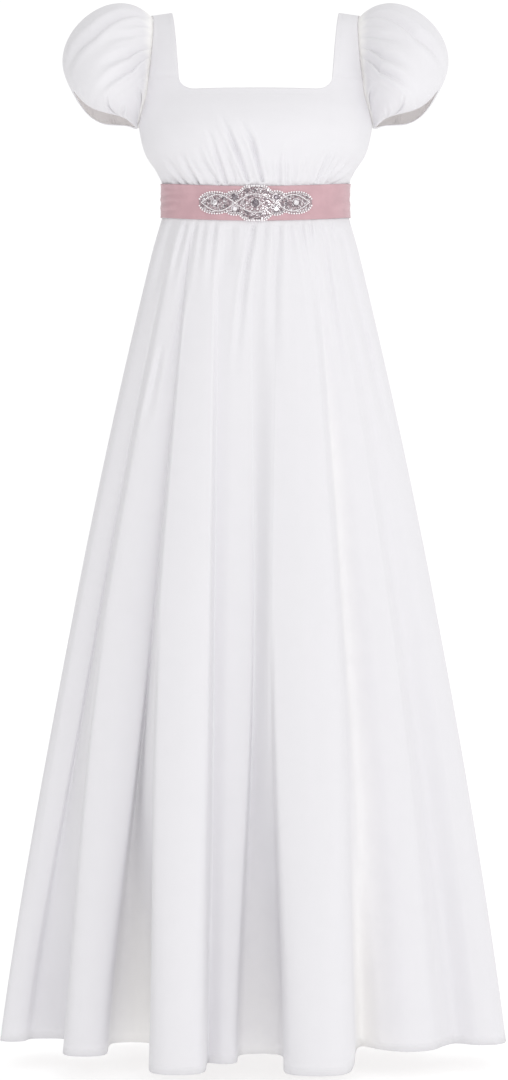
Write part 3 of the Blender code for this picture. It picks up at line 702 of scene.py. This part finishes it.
FRONT_GATHERS = (
    # in mm: x and level under the sash, at the bend and at the free end, depth, half width
    (-116.3, -296, -131.3, -356, -147.8, -428, 4.4, 5),
    (-94.3, -296, -106.7, -342, -120.4, -394, 2.6, 3),
    (-80.6, -296, -93, -356, -109.4, -446, 3.2, 3.5),
    (-70, -296, -75, -330, -81, -372, 1.6, 3.4),
    (-54.6, -296, -60.1, -342, -64.2, -408, 3.2, 3.5),
    (-34.1, -296, -38.2, -339, -43.7, -394, 3.4, 6.5),
    (-1.2, -298, -16.3, -387, -29.7, -526, 4, 3),
    (11.1, -298, 9.8, -332, 5.7, -380, 1.8, 4),
    (31.7, -296, 26.2, -394, 24.7, -546, 3.6, 4.5),
    (46, -296, 49, -326, 53, -366, 1.6, 3.6),
    (60.5, -296, 76.9, -383, 92.7, -512, 3.2, 4),
    (72.8, -296, 78.3, -334, 82.4, -356, 3.4, 2.6),
    (83.8, -296, 87.9, -336, 96.1, -373, 2.8, 2.6),
    (89.2, -296, 105.7, -410, 128, -565, 3.6, 3.5),
    (102.9, -296, 112.5, -339, 123.5, -387, 2.2, 3),
    (118, -315, 159.1, -475, 216.4, -709, 4.2, 5),
    (-130.4, -478, -144, -546, -161.7, -603, 3.6, 3.5),
    (-97.1, -394, -114.1, -492, -129, -584, 2, 2.6),
    (150.9, -449, 172.9, -546, 198.7, -641, 3.2, 4),
)
BACK_GATHERS_BELOW = (
    # the same, for the back
    (-112, -280, -127, -350, -148, -450, 4, 4.6),
    (-92, -280, -101, -330, -112, -390, 2.8, 3.2),
    (-74, -280, -84, -360, -99, -470, 3.4, 3.8),
    (-56, -280, -60, -320, -66, -366, 2.4, 3),
    (-33, -280, -39, -370, -45, -500, 3.6, 4.2),
    (-12, -280, -13, -325, -18, -380, 2.6, 3.4),
    (9, -280, 8, -380, 3, -520, 3.6, 4),
    (29, -280, 33, -322, 36, -372, 2.4, 3),
    (48, -280, 56, -366, 64, -486, 3.6, 4),
    (69, -280, 74, -318, 81, -360, 2.6, 3),
    (87, -280, 99, -350, 115, -440, 3.4, 3.6),
    (108, -280, 124, -352, 146, -450, 4, 4.6),
)
# CLOSED is the share of a gap between two folds that closes up above the hem. A fold's corners
# lie inside its width and behind its crest by shares of the width. A gap over WIDE_GAP has a
# valley with a flat floor.
CLOSED = 0.75
CORNER_INSIDE, CORNER_BEHIND = 0.08, 0.16
VALLEY_CORNER, WIDE_GAP = 0.006, 0.05


def fold_points(folds):
    """The points that shape each fold and the valley after it: waist angle, x and y at the hem,
    and x and y above it, where neighbouring folds close up and the valleys are shallow."""
    points = []
    for before, fold, following in zip(folds[-1:] + folds[:-1], folds, folds[1:] + folds[:1]):
        waist_from, waist_to, hem_from, hem_to, crest, valley = fold
        waist_next, _, hem_next, hem_end, crest_next, _ = following
        waist_next += 360 if waist_next < waist_to else 0
        width, gap = hem_to - hem_from, hem_next - hem_to
        way = math.copysign(1, width)
        side = crest - math.copysign(CORNER_BEHIND * abs(width), crest)
        side_next = crest_next - math.copysign(CORNER_BEHIND * abs(hem_end - hem_next), crest_next)
        inward = -math.copysign(VALLEY_CORNER, crest)
        edges = (hem_from + CORNER_INSIDE * width, hem_to - CORNER_INSIDE * width)
        drawn = CLOSED * (before[3] - hem_from) / 2, CLOSED * gap / 2
        waist_middle, hem_middle = (waist_from + waist_to) / 2, hem_from + 0.5 * width
        points += [
            (waist_from, edges[0], side, edges[0] + drawn[0], side),
            (waist_middle, hem_middle, crest, hem_middle, crest),
            (waist_to, edges[1], side, edges[1] + drawn[1], side),
        ]
        if width * (hem_end - hem_next) > 0 and abs(gap) > WIDE_GAP:
            first, second = hem_to + VALLEY_CORNER * way, hem_next - VALLEY_CORNER * way
            drawn = CLOSED * (second - first) / 2
            points.append((waist_to + 1.5, first, valley, first + drawn, side + inward))
            points.append((waist_next - 1.5, second, valley, second - drawn, side_next + inward))
        else:
            high = (side + side_next) / 2 + inward if crest * crest_next > 0 else valley
            middle = hem_to + gap / 2
            points.append(((waist_to + waist_next) / 2, middle, valley, middle, high))
    return points


def knots_along(points):
    """Knots for a curve through the points, 0 at the first fold's first point."""
    knots = np.cumsum(np.sqrt(np.linalg.norm(np.diff(points, axis=0), axis=1)))
    return np.concatenate([[0], knots]) - knots[LEAD_IN - 1]


# The table goes on a little past both of its ends, so that the curve closes smoothly
LEAD_IN, LEAD_OUT = 4, 5
folds = np.array(FRONT_FOLDS + BACK_FOLDS) / (1, 1, *[MM_IN_A_METRE] * 4)
fold_table = np.array(fold_points(folds.tolist()))
once_round = (360, 0, 0, 0, 0)
fold_table = np.vstack(
    [fold_table[-LEAD_IN:] - once_round, fold_table, fold_table[:LEAD_OUT] + once_round]
)
hem_points, high_points = fold_table[:, 1:3], fold_table[:, 3:]
hem_knots, high_knots = knots_along(hem_points), knots_along(high_points)


def skirt_panel(low, high, columns, rows, gathers):
    """Points of the skirt between two waist angles, how much painted light each gets deep in a
    fold, and its distance from the hem."""
    fine = np.linspace(hem_knots[0], hem_knots[-1], 9000)
    waist = np.interp(fine, hem_knots, fold_table[:, 0])
    fine, waist = fine[(waist >= low) & (waist <= high)], waist[(waist >= low) & (waist <= high)]
    hem = smooth_curve(hem_knots, hem_points, fine)
    steps = np.linalg.norm(np.diff(hem, axis=0), axis=1) + np.radians(np.diff(waist)) * 0.4
    run = np.concatenate([[0], np.cumsum(steps)])
    place = np.interp(np.linspace(0, run[-1], columns), run, fine)
    angle = np.radians(np.interp(place, hem_knots, fold_table[:, 0]))[None, :]
    hem_x, hem_y = np.moveaxis(smooth_curve(hem_knots, hem_points, place), -1, 0)
    high_place = np.interp(place, hem_knots, high_knots)
    high_x, high_y = np.moveaxis(smooth_curve(high_knots, high_points, high_place), -1, 0)
    mean_y = -HEM_MEAN_DEPTH * np.cos(angle)
    drop = DROP * np.linspace(0, 1, rows)[:, None] ** 1.45
    bottom = HEM_LEVEL + HEM_RISE * (1 - np.minimum(1, np.abs(hem_y) / 0.25))
    level = seam_level(angle) + (bottom - seam_level(angle)) * drop / DROP
    body = on_body(angle, np.maximum(level, SECTIONS[0, 0]))
    free = np.maximum(0, drop - SASH_HEIGHT / 2) / (DROP - SASH_HEIGHT / 2)
    flare = free + 0.34 * free * (1 - free)
    # The crests stand out soon after the waist; the valleys between them open further down
    above = 1 - smooth_step(0.45, 1.0, free)
    x = body[..., 0] + (hem_x + (high_x - hem_x) * above - body[..., 0]) * flare
    stand_out = hem_y + (high_y - hem_y) * above - mean_y
    y = body[..., 1] + (mean_y - body[..., 1]) * flare + stand_out * free**1.1
    # The gathers under the sash go in towards the body, and open out as they fall
    facing = np.sign(np.cos(angle))
    below = np.maximum(drop - SASH_HEIGHT / 2, 0)
    held = smooth_step(0.0, 0.012, below)
    moved = creases(x, level, np.array(gathers) / MM_IN_A_METRE) * held
    spread = x / (1 + 1.2 * free)
    fine = {"widths": (0.002, 0.0034), "depths": (0.0006, 0.0018)}
    places = np.arange(-0.126, 0.127, 0.0072)
    moved += puckers(spread, places, (0.016, 0.06), columns, below, **fine) * held
    y = y + facing * moved * smooth_step(0.0, 0.3, np.abs(np.cos(angle)))
    # Deep in the folds the cloth gets painted light, lighter and warmer; towards the skirt's sides
    # it gets none
    deep = smooth_step(0.0, 0.1, facing * stand_out) * smooth_step(0.04, 0.35, free)
    deep *= 1 - smooth_step(0.16, 0.24, np.abs(hem_x))
    from_hem = np.broadcast_to(DROP - drop, level.shape)
    return np.stack([x, y, level], -1), deep, from_hem


for name, low, high, columns, rows, gathers, cut, area in (
    ("front", -90, 90, 460, 104, FRONT_GATHERS, (1.72, 1.20), 1.063),
    ("back", 90, 270, 380, 100, BACK_GATHERS_BELOW, (1.70, 1.205), 0.990),
):
    grid = skirt_panel(low, high, columns, rows, gathers)
    skirt = cloth("skirt_" + name + "_jersey", white_jersey, jersey_inside, grid)
    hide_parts("skirt_" + name)


# Sash: a band of dusty pink satin ribbon, stretched round the waist over the seam and sewn
# down. It has a few shallow wrinkles on the wearer's right, and its long edges are turned under.
SASH_OUT = 0.0021
# Like the solid, it is straight between a few levels
SASH_STEPS = 4
WEFT_PITCH, WARP_PITCH = 0.00055, 0.0012


def sash_points(up, angle, out):
    """Points of the sash, out metres over the figure and up metres over the sash's middle."""
    level = seam_level(angle) - SASH_HEIGHT / 2
    row = np.clip((up / SASH_HEIGHT + 0.5) * SASH_STEPS, 0, SASH_STEPS)
    lower = np.minimum(row.astype(int), SASH_STEPS - 1)
    below = on_body(angle, level + SASH_HEIGHT * lower / SASH_STEPS, out)
    above = on_body(angle, level + SASH_HEIGHT * (lower + 1) / SASH_STEPS, out)
    return below + (above - below) * (row - lower)[..., None]


satin = Finish("pink_satin")
lie = satin.node("Attribute", {"attribute_name": "flat"}, {}, 1)
place = satin.node("TexCoord", {}, {}, 3)
across = satin.node("SeparateXYZ", {}, {0: lie}, 0)
down = satin.node("SeparateXYZ", {}, {0: lie}, 1)
weft = satin.math("SINE", down * (2 * math.pi / WEFT_PITCH))
warp = satin.math("SINE", across * (2 * math.pi / WARP_PITCH))
cloud = satin.noise(place, 46.0, 3.0)
fibre = satin.noise(place, 1100.0, 1.0)
weave = weft * 0.4 + warp * 0.2 + fibre * 0.6
bump = satin.node("Bump", {}, {"Strength": 0.3, "Distance": 0.0002, "Height": weave})
pink = satin.blend(satin.ramp(cloud, 0.35, 0.7), (0.565, 0.355, 0.388, 1), (0.615, 0.39, 0.424, 1))
satin.set(base_color=pink, roughness=0.4 + cloud * 0.14, normal=bump)
satin.set(sheen_weight=0.2, sheen_roughness=0.4)

SASH_WRINKLES = (
    # in mm: x and height on the sash at the held end, bend and free end, depth, half width
    (-129, 6, -116, 9.5, -86, 8.5, 1.2, 2.6),
    (-129, -3, -115, -1, -90, -5, 1.4, 3),
    (-128, -15, -112, -11, -88, -12, 1, 2.4),
    (-122, 17, -108, 16, -93, 18, 0.8, 2.2),
    (129, 2, 118, 4, 102, 2, 1, 3.4),
    (129, -11, 115, -12, 98, -9, 0.8, 2.8),
)
SASH_COLUMNS, SASH_ROWS = 481, 37
turn = np.linspace(-math.pi, math.pi, SASH_COLUMNS)[None, :]
up = np.linspace(-SASH_HEIGHT / 2, SASH_HEIGHT / 2, SASH_ROWS)[:, None]
up, turn = np.broadcast_arrays(up, turn)
plain = sash_points(up, turn, SASH_OUT)
wrinkled = creases(plain[..., 0], up, np.array(SASH_WRINKLES) / MM_IN_A_METRE)
wrinkled += 0.0003 * np.sin(turn * 9 + 3 * np.sin(turn * 4)) * np.cos(up / SASH_HEIGHT * 5)
# The ribbon is a little fuller along its turned edges
rim = 0.0005 * np.exp(-(((SASH_HEIGHT / 2 - np.abs(up)) / 0.0022) ** 2))
lift = SASH_OUT + np.maximum(rim - wrinkled, -0.0008)
grid = (sash_points(up, turn, lift), 0.0, 0.1)
sash = cloth("sash_satin_band", satin.material, satin.material, grid)
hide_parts("sash")


# Applique: a beaded ornament sewn to the front of the sash. Two strings of pearls cross and
# part to frame an eye and two ovals; small stones and glass tubes fill a padded backing, and
# a row of pearls edges it. The ornament is a general one of its kind.
LOBES = (
    # centre, half length, half height
    (-0.054, 0.022, 0.0155),
    (-0.0275, 0.0165, 0.017),
    (0.0000, 0.026, 0.0265),
    (0.0275, 0.0165, 0.017),
    (0.054, 0.022, 0.0155),
)
OVALS = ((-0.0535, 0.017, 0.0105), (0.0, 0.02, 0.011), (0.0535, 0.017, 0.0105))
APPLIQUE_HALF_LENGTH, STRING_HALF_LENGTH = 0.0755, 0.0718
# The two strings cross at CROSSING; between lies the eye, and beyond it an oval on each side
CROSSING = 0.0275
EYE_HEIGHT, OVAL_HEIGHT, OVAL_LENGTH = 0.0126, 0.0112, 0.0445
TIP_HEIGHT, PADDING = 0.0022, 0.0018
BIG_STONES = (
    # x, up, radius
    (-0.0535, 0.0, 0.004),
    (-CROSSING, 0.0078, 0.0034),
    (-CROSSING, -0.0078, 0.0034),
    (0.0, 0.0, 0.0046),
    (CROSSING, 0.0078, 0.0034),
    (CROSSING, -0.0078, 0.0034),
    (0.0535, 0.0, 0.004),
)


def outline_at(x):
    """Half the applique's height at x."""
    tallest = np.full(np.shape(x), TIP_HEIGHT)
    for centre, half_length, half_height in LOBES:
        away = np.minimum(np.abs(x - centre) / half_length, 1)
        tallest = np.maximum(tallest, half_height * (1 - away**2.2) ** (1 / 2.2))
    return tallest


def string_at(x):
    """How far above the middle the upper string of pearls runs."""
    eye = EYE_HEIGHT * np.cos(np.pi * x / (2 * CROSSING))
    oval = -OVAL_HEIGHT * np.sin(np.pi * (np.abs(x) - CROSSING) / OVAL_LENGTH)
    return np.where(np.abs(x) < CROSSING, eye, oval)


def rise_at(x, up):
    """How far the padded ovals stand over the flat of the backing."""
    rise = np.zeros(np.broadcast(x, up).shape)
    for centre, half_length, half_height in OVALS:
        away = np.hypot((x - centre) / half_length, up / half_height)
        rise = np.maximum(rise, PADDING * (1 - smooth_step(0.45, 1.0, away)))
    return rise


def on_sash(x, up, lift):
    """Points lift metres over the face of the sash."""
    x, up, lift = np.broadcast_arrays(x, up, lift)
    angle = angle_at(x, WAIST_LEVEL - WAIST_DIP)
    return sash_points(up, angle, SASH_OUT + CLOTH / 2 + lift)


def seat(x, up, lift, turned=0.0):
    """The place and turn of something set on the applique, its Z axis straight out."""
    lift = lift + rise_at(x, up)
    here = Vector(on_sash(x, up, lift))
    outward = (Vector(on_sash(x, up, lift + 0.01)) - here).normalized()
    along = (Vector(on_sash(x + 0.001, up, lift)) - here).normalized()
    across = outward.cross(along).normalized()
    frame_there = Matrix((across.cross(outward), across, outward)).transposed().to_4x4()
    return Matrix.Translation(here) @ frame_there @ Matrix.Rotation(turned, 4, "Z")


def evenly(x, up, gap):
    """Places with an even gap along a line."""
    run = np.concatenate([[0], np.cumsum(np.hypot(np.diff(x), np.diff(up)))])
    marks = np.linspace(0, run[-1], round(run[-1] / gap) + 1)
    return zip(np.interp(marks, run, x), np.interp(marks, run, up))


def piece_from(bm, name, finish, smooth):
    """A piece of the applique from a finished bmesh."""
    bmesh.ops.recalc_face_normals(bm, faces=bm.faces)
    mesh = bpy.data.meshes.new(name)
    bm.to_mesh(mesh)
    bm.free()
    if smooth:
        mesh.shade_smooth()
    mesh.materials.append(finish)
    piece = bpy.data.objects.new(name, mesh)
    scene.collection.objects.link(piece)
    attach(piece, "root")
    return piece


def glinting(name, dark, light, tint, roughness, metallic):
    """A bright finish whose small parts each have a tone of their own. On the cut glass the tones
    are painted glints and painted dark reflections, and on the backing they are darkened by painted
    shade.
    """
    finish = Finish(name)
    tone = finish.node("Attribute", {"attribute_name": "tone"}, {}, 2)
    place = finish.node("TexCoord", {}, {}, 3)
    grain = finish.noise(place, 2400.0, 2.0)
    colour = finish.blend(finish.ramp(tone, 0.0, 1.0), dark, light)
    warm = finish.blend(finish.ramp(grain, 0.45, 0.75) * 0.5, colour, tint)
    finish.set(base_color=warm, roughness=roughness + grain * 0.12, metallic=metallic)
    return finish.material


# The backing's two colours are its own pinkish grey darkened by painted shade between the beads;
# the cut glass's dark and light tones are painted dark reflections and painted glints
FINISHES = (
    # name, dark tone, light tone, tint, roughness, metallic
    ("beaded_backing", (0.2, 0.15, 0.16, 1), (0.52, 0.41, 0.44, 1), (0.44, 0.3, 0.33, 1), 0.5, 0),
    ("pearl_beads", (0.86, 0.83, 0.85, 1), (1.0, 0.98, 0.99, 1), (0.94, 0.88, 0.9, 1), 0.14, 0),
    ("cut_glass", (0.12, 0.1, 0.12, 1), (1.0, 0.98, 1.0, 1), (0.92, 0.82, 0.87, 1), 0.1, 0.75),
)
backing_felt, pearl, cut_glass = (glinting(*row) for row in FINISHES)

# One stream of chance serves the whole applique
chance = np.random.default_rng(7)

bm = bmesh.new()
tone = bm.verts.layers.float.new("tone")
made = bmesh.ops.create_grid(bm, x_segments=150, y_segments=26, size=0.5)
for vert in made["verts"]:
    x, share = vert.co.x * 2 * APPLIQUE_HALF_LENGTH, vert.co.y * 2
    half = float(outline_at(x)) - 0.0008
    up = share * half
    quilted = 0.00022 * math.sin(x * 2600) * math.sin(up * 2400)
    lift = 0.0014 * (1 - abs(share) ** 8) + float(rise_at(x, up)) + quilted * (1 - abs(share) ** 4)
    vert.co = on_sash(x, up, 0.0003 + lift)
    # Each point of the backing takes a random tone between its two colours, both darkened by
    # painted shade
    vert[tone] = chance.uniform(0, 1)
backing = piece_from(bm, "applique_backing", backing_felt, True)
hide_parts("applique")


# Tones of the beads, tubes and stones; on the cut glass the dark tones are painted dark reflections
# and the bright tones painted glints
DARK_BEAD, MIDDLE_BEAD, BRIGHT_BEAD = 0.12, 0.7, 0.95


def set_in(bm, shape, place, size):
    """Adds a copy of a small shape at a place, with a tone of its own that varies a little. On the
    cut glass a bright tone is a painted glint and a dark one a painted dark reflection.
    """
    start = len(bm.verts)
    bm.from_mesh(shape)
    bm.verts.ensure_lookup_table()
    own = chance.choice((DARK_BEAD, MIDDLE_BEAD, BRIGHT_BEAD))
    for vert in bm.verts[start:]:
        vert.co = place @ (vert.co * size)
        vert[bm.verts.layers.float["tone"]] = own + chance.uniform(-0.25, 0.25)


def shape_from(bm, name):
    """A small shape that is copied many times."""
    shape = bpy.data.meshes.new(name)
    bm.to_mesh(shape)
    bm.free()
    return shape


# Pearls: the two crossing strings, the edging, and a finer row inside it
bm = bmesh.new()
bmesh.ops.create_icosphere(bm, subdivisions=2, radius=1.0)
one_pearl = shape_from(bm, "one_pearl")
bm = bmesh.new()
bm.verts.layers.float.new("tone")
STRING_PEARL, EDGE_PEARL, INNER_PEARL = 0.00102, 0.00135, 0.00085
STRING_GAP, EDGE_GAP, INNER_GAP = 0.00205, 0.0034, 0.0022
run = np.linspace(-STRING_HALF_LENGTH, STRING_HALF_LENGTH, 600)
edge_run = run * 1.045
for side in (1, -1):
    for x, up in evenly(run, side * string_at(run), STRING_GAP):
        over = max(0.0, -0.0005 * side * math.cos(math.pi * x / CROSSING))
        set_in(bm, one_pearl, seat(x, up, 0.0022 + over), STRING_PEARL)
    for x, up in evenly(edge_run, side * (outline_at(edge_run) - 0.0006), EDGE_GAP):
        set_in(bm, one_pearl, seat(x, up, 0.0016), EDGE_PEARL)
    for x, up in evenly(run, side * (outline_at(run) - 0.0031), INNER_GAP):
        if abs(abs(up) - abs(string_at(x))) > 0.0019:
            set_in(bm, one_pearl, seat(x, up, 0.0021), INNER_PEARL)
piece_from(bm, "applique_pearls", pearl, True)

# Glass tubes: short spokes that fan out from the ovals and from the eye to the edging
bm = bmesh.new()
lying = Matrix.Rotation(math.pi / 2, 4, "Y")
tube = {"segments": 6, "radius1": 0.0005, "radius2": 0.0005, "depth": 0.003}
bmesh.ops.create_cone(bm, cap_ends=True, matrix=lying, **tube)
one_tube = shape_from(bm, "one_tube")
SPOKES = 34
bm = bmesh.new()
bm.verts.layers.float.new("tone")
for centre, half_length, half_height in OVALS:
    for spoke in np.arange(0, 2 * math.pi, 2 * math.pi / SPOKES):
        x = centre + (half_length - 0.0036) * math.cos(spoke)
        up = (half_height + 0.0062 * (centre == 0)) * math.sin(spoke) * 0.98
        if abs(up) < outline_at(x) - 0.0032 and abs(abs(up) - abs(string_at(x))) > 0.0016:
            lean = math.atan2(math.sin(spoke) * half_length, math.cos(spoke) * half_height)
            set_in(bm, one_tube, seat(x, up, 0.0022, lean), 1.0)
piece_from(bm, "applique_tubes", cut_glass, False)

# Stones: seven large ones in rings of small ones, and a scatter of small ones between. Each
# has a flat table over a ring of facets.
bm = bmesh.new()
base = Matrix.Translation((0, 0, 0.25))
crown = Matrix.Translation((0, 0, 0.665)) @ Matrix.Rotation(math.pi / 9, 4, "Z")
for place, lower, upper, depth in ((base, 0.8, 1.0, 0.5), (crown, 0.97, 0.54, 0.35)):
    cone = {"segments": 9, "radius1": lower, "radius2": upper, "depth": depth}
    bmesh.ops.create_cone(bm, cap_ends=True, matrix=place, **cone)
one_stone = shape_from(bm, "one_stone")
RING_GAP, RING_AWAY, RING_STONE = 0.0021, 0.0012, 0.00092
SMALL_STONES = (0.0007, 0.0009, 0.0012, 0.0015)
TRIES = 9000
bm = bmesh.new()
bm.verts.layers.float.new("tone")
taken = []
for x, up, radius in BIG_STONES:
    set_in(bm, one_stone, seat(x, up, 0.0012), radius)
    taken.append((x, up, radius + 0.0004))
    count = round(2 * math.pi * (radius + RING_AWAY) / RING_GAP)
    for spot in np.arange(count) * 2 * math.pi / count:
        ring_x = x + (radius + RING_AWAY) * math.cos(spot)
        ring_up = up + (radius + RING_AWAY) * math.sin(spot)
        from_string = abs(abs(ring_up) - abs(string_at(ring_x)))
        if abs(ring_up) < outline_at(ring_x) - 0.002 and from_string > 0.0014:
            set_in(bm, one_stone, seat(ring_x, ring_up, 0.0019, spot), RING_STONE)
            taken.append((ring_x, ring_up, 0.0009))
x, up = chance.uniform(-0.072, 0.072, TRIES), chance.uniform(-0.025, 0.025, TRIES)
radius = chance.choice(SMALL_STONES, TRIES)
fits = np.abs(up) < outline_at(x) - 0.0024 - radius
fits &= np.abs(np.abs(up) - np.abs(string_at(x))) > 0.0007 + radius
for x, up, radius in zip(x[fits], up[fits], radius[fits]):
    others = np.array(taken)
    if np.all(np.hypot(others[:, 0] - x, others[:, 1] - up) > others[:, 2] + radius):
        set_in(bm, one_stone, seat(x, up, 0.0017, chance.uniform(0, 3)), radius)
        taken.append((x, up, radius + 0.0001))
stones = piece_from(bm, "applique_stones", cut_glass, False)
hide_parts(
    "stone_left_oval", "stone_right_oval", "stone_centre", "stone_upper_left",
    "stone_lower_left", "stone_upper_right", "stone_lower_right",
)
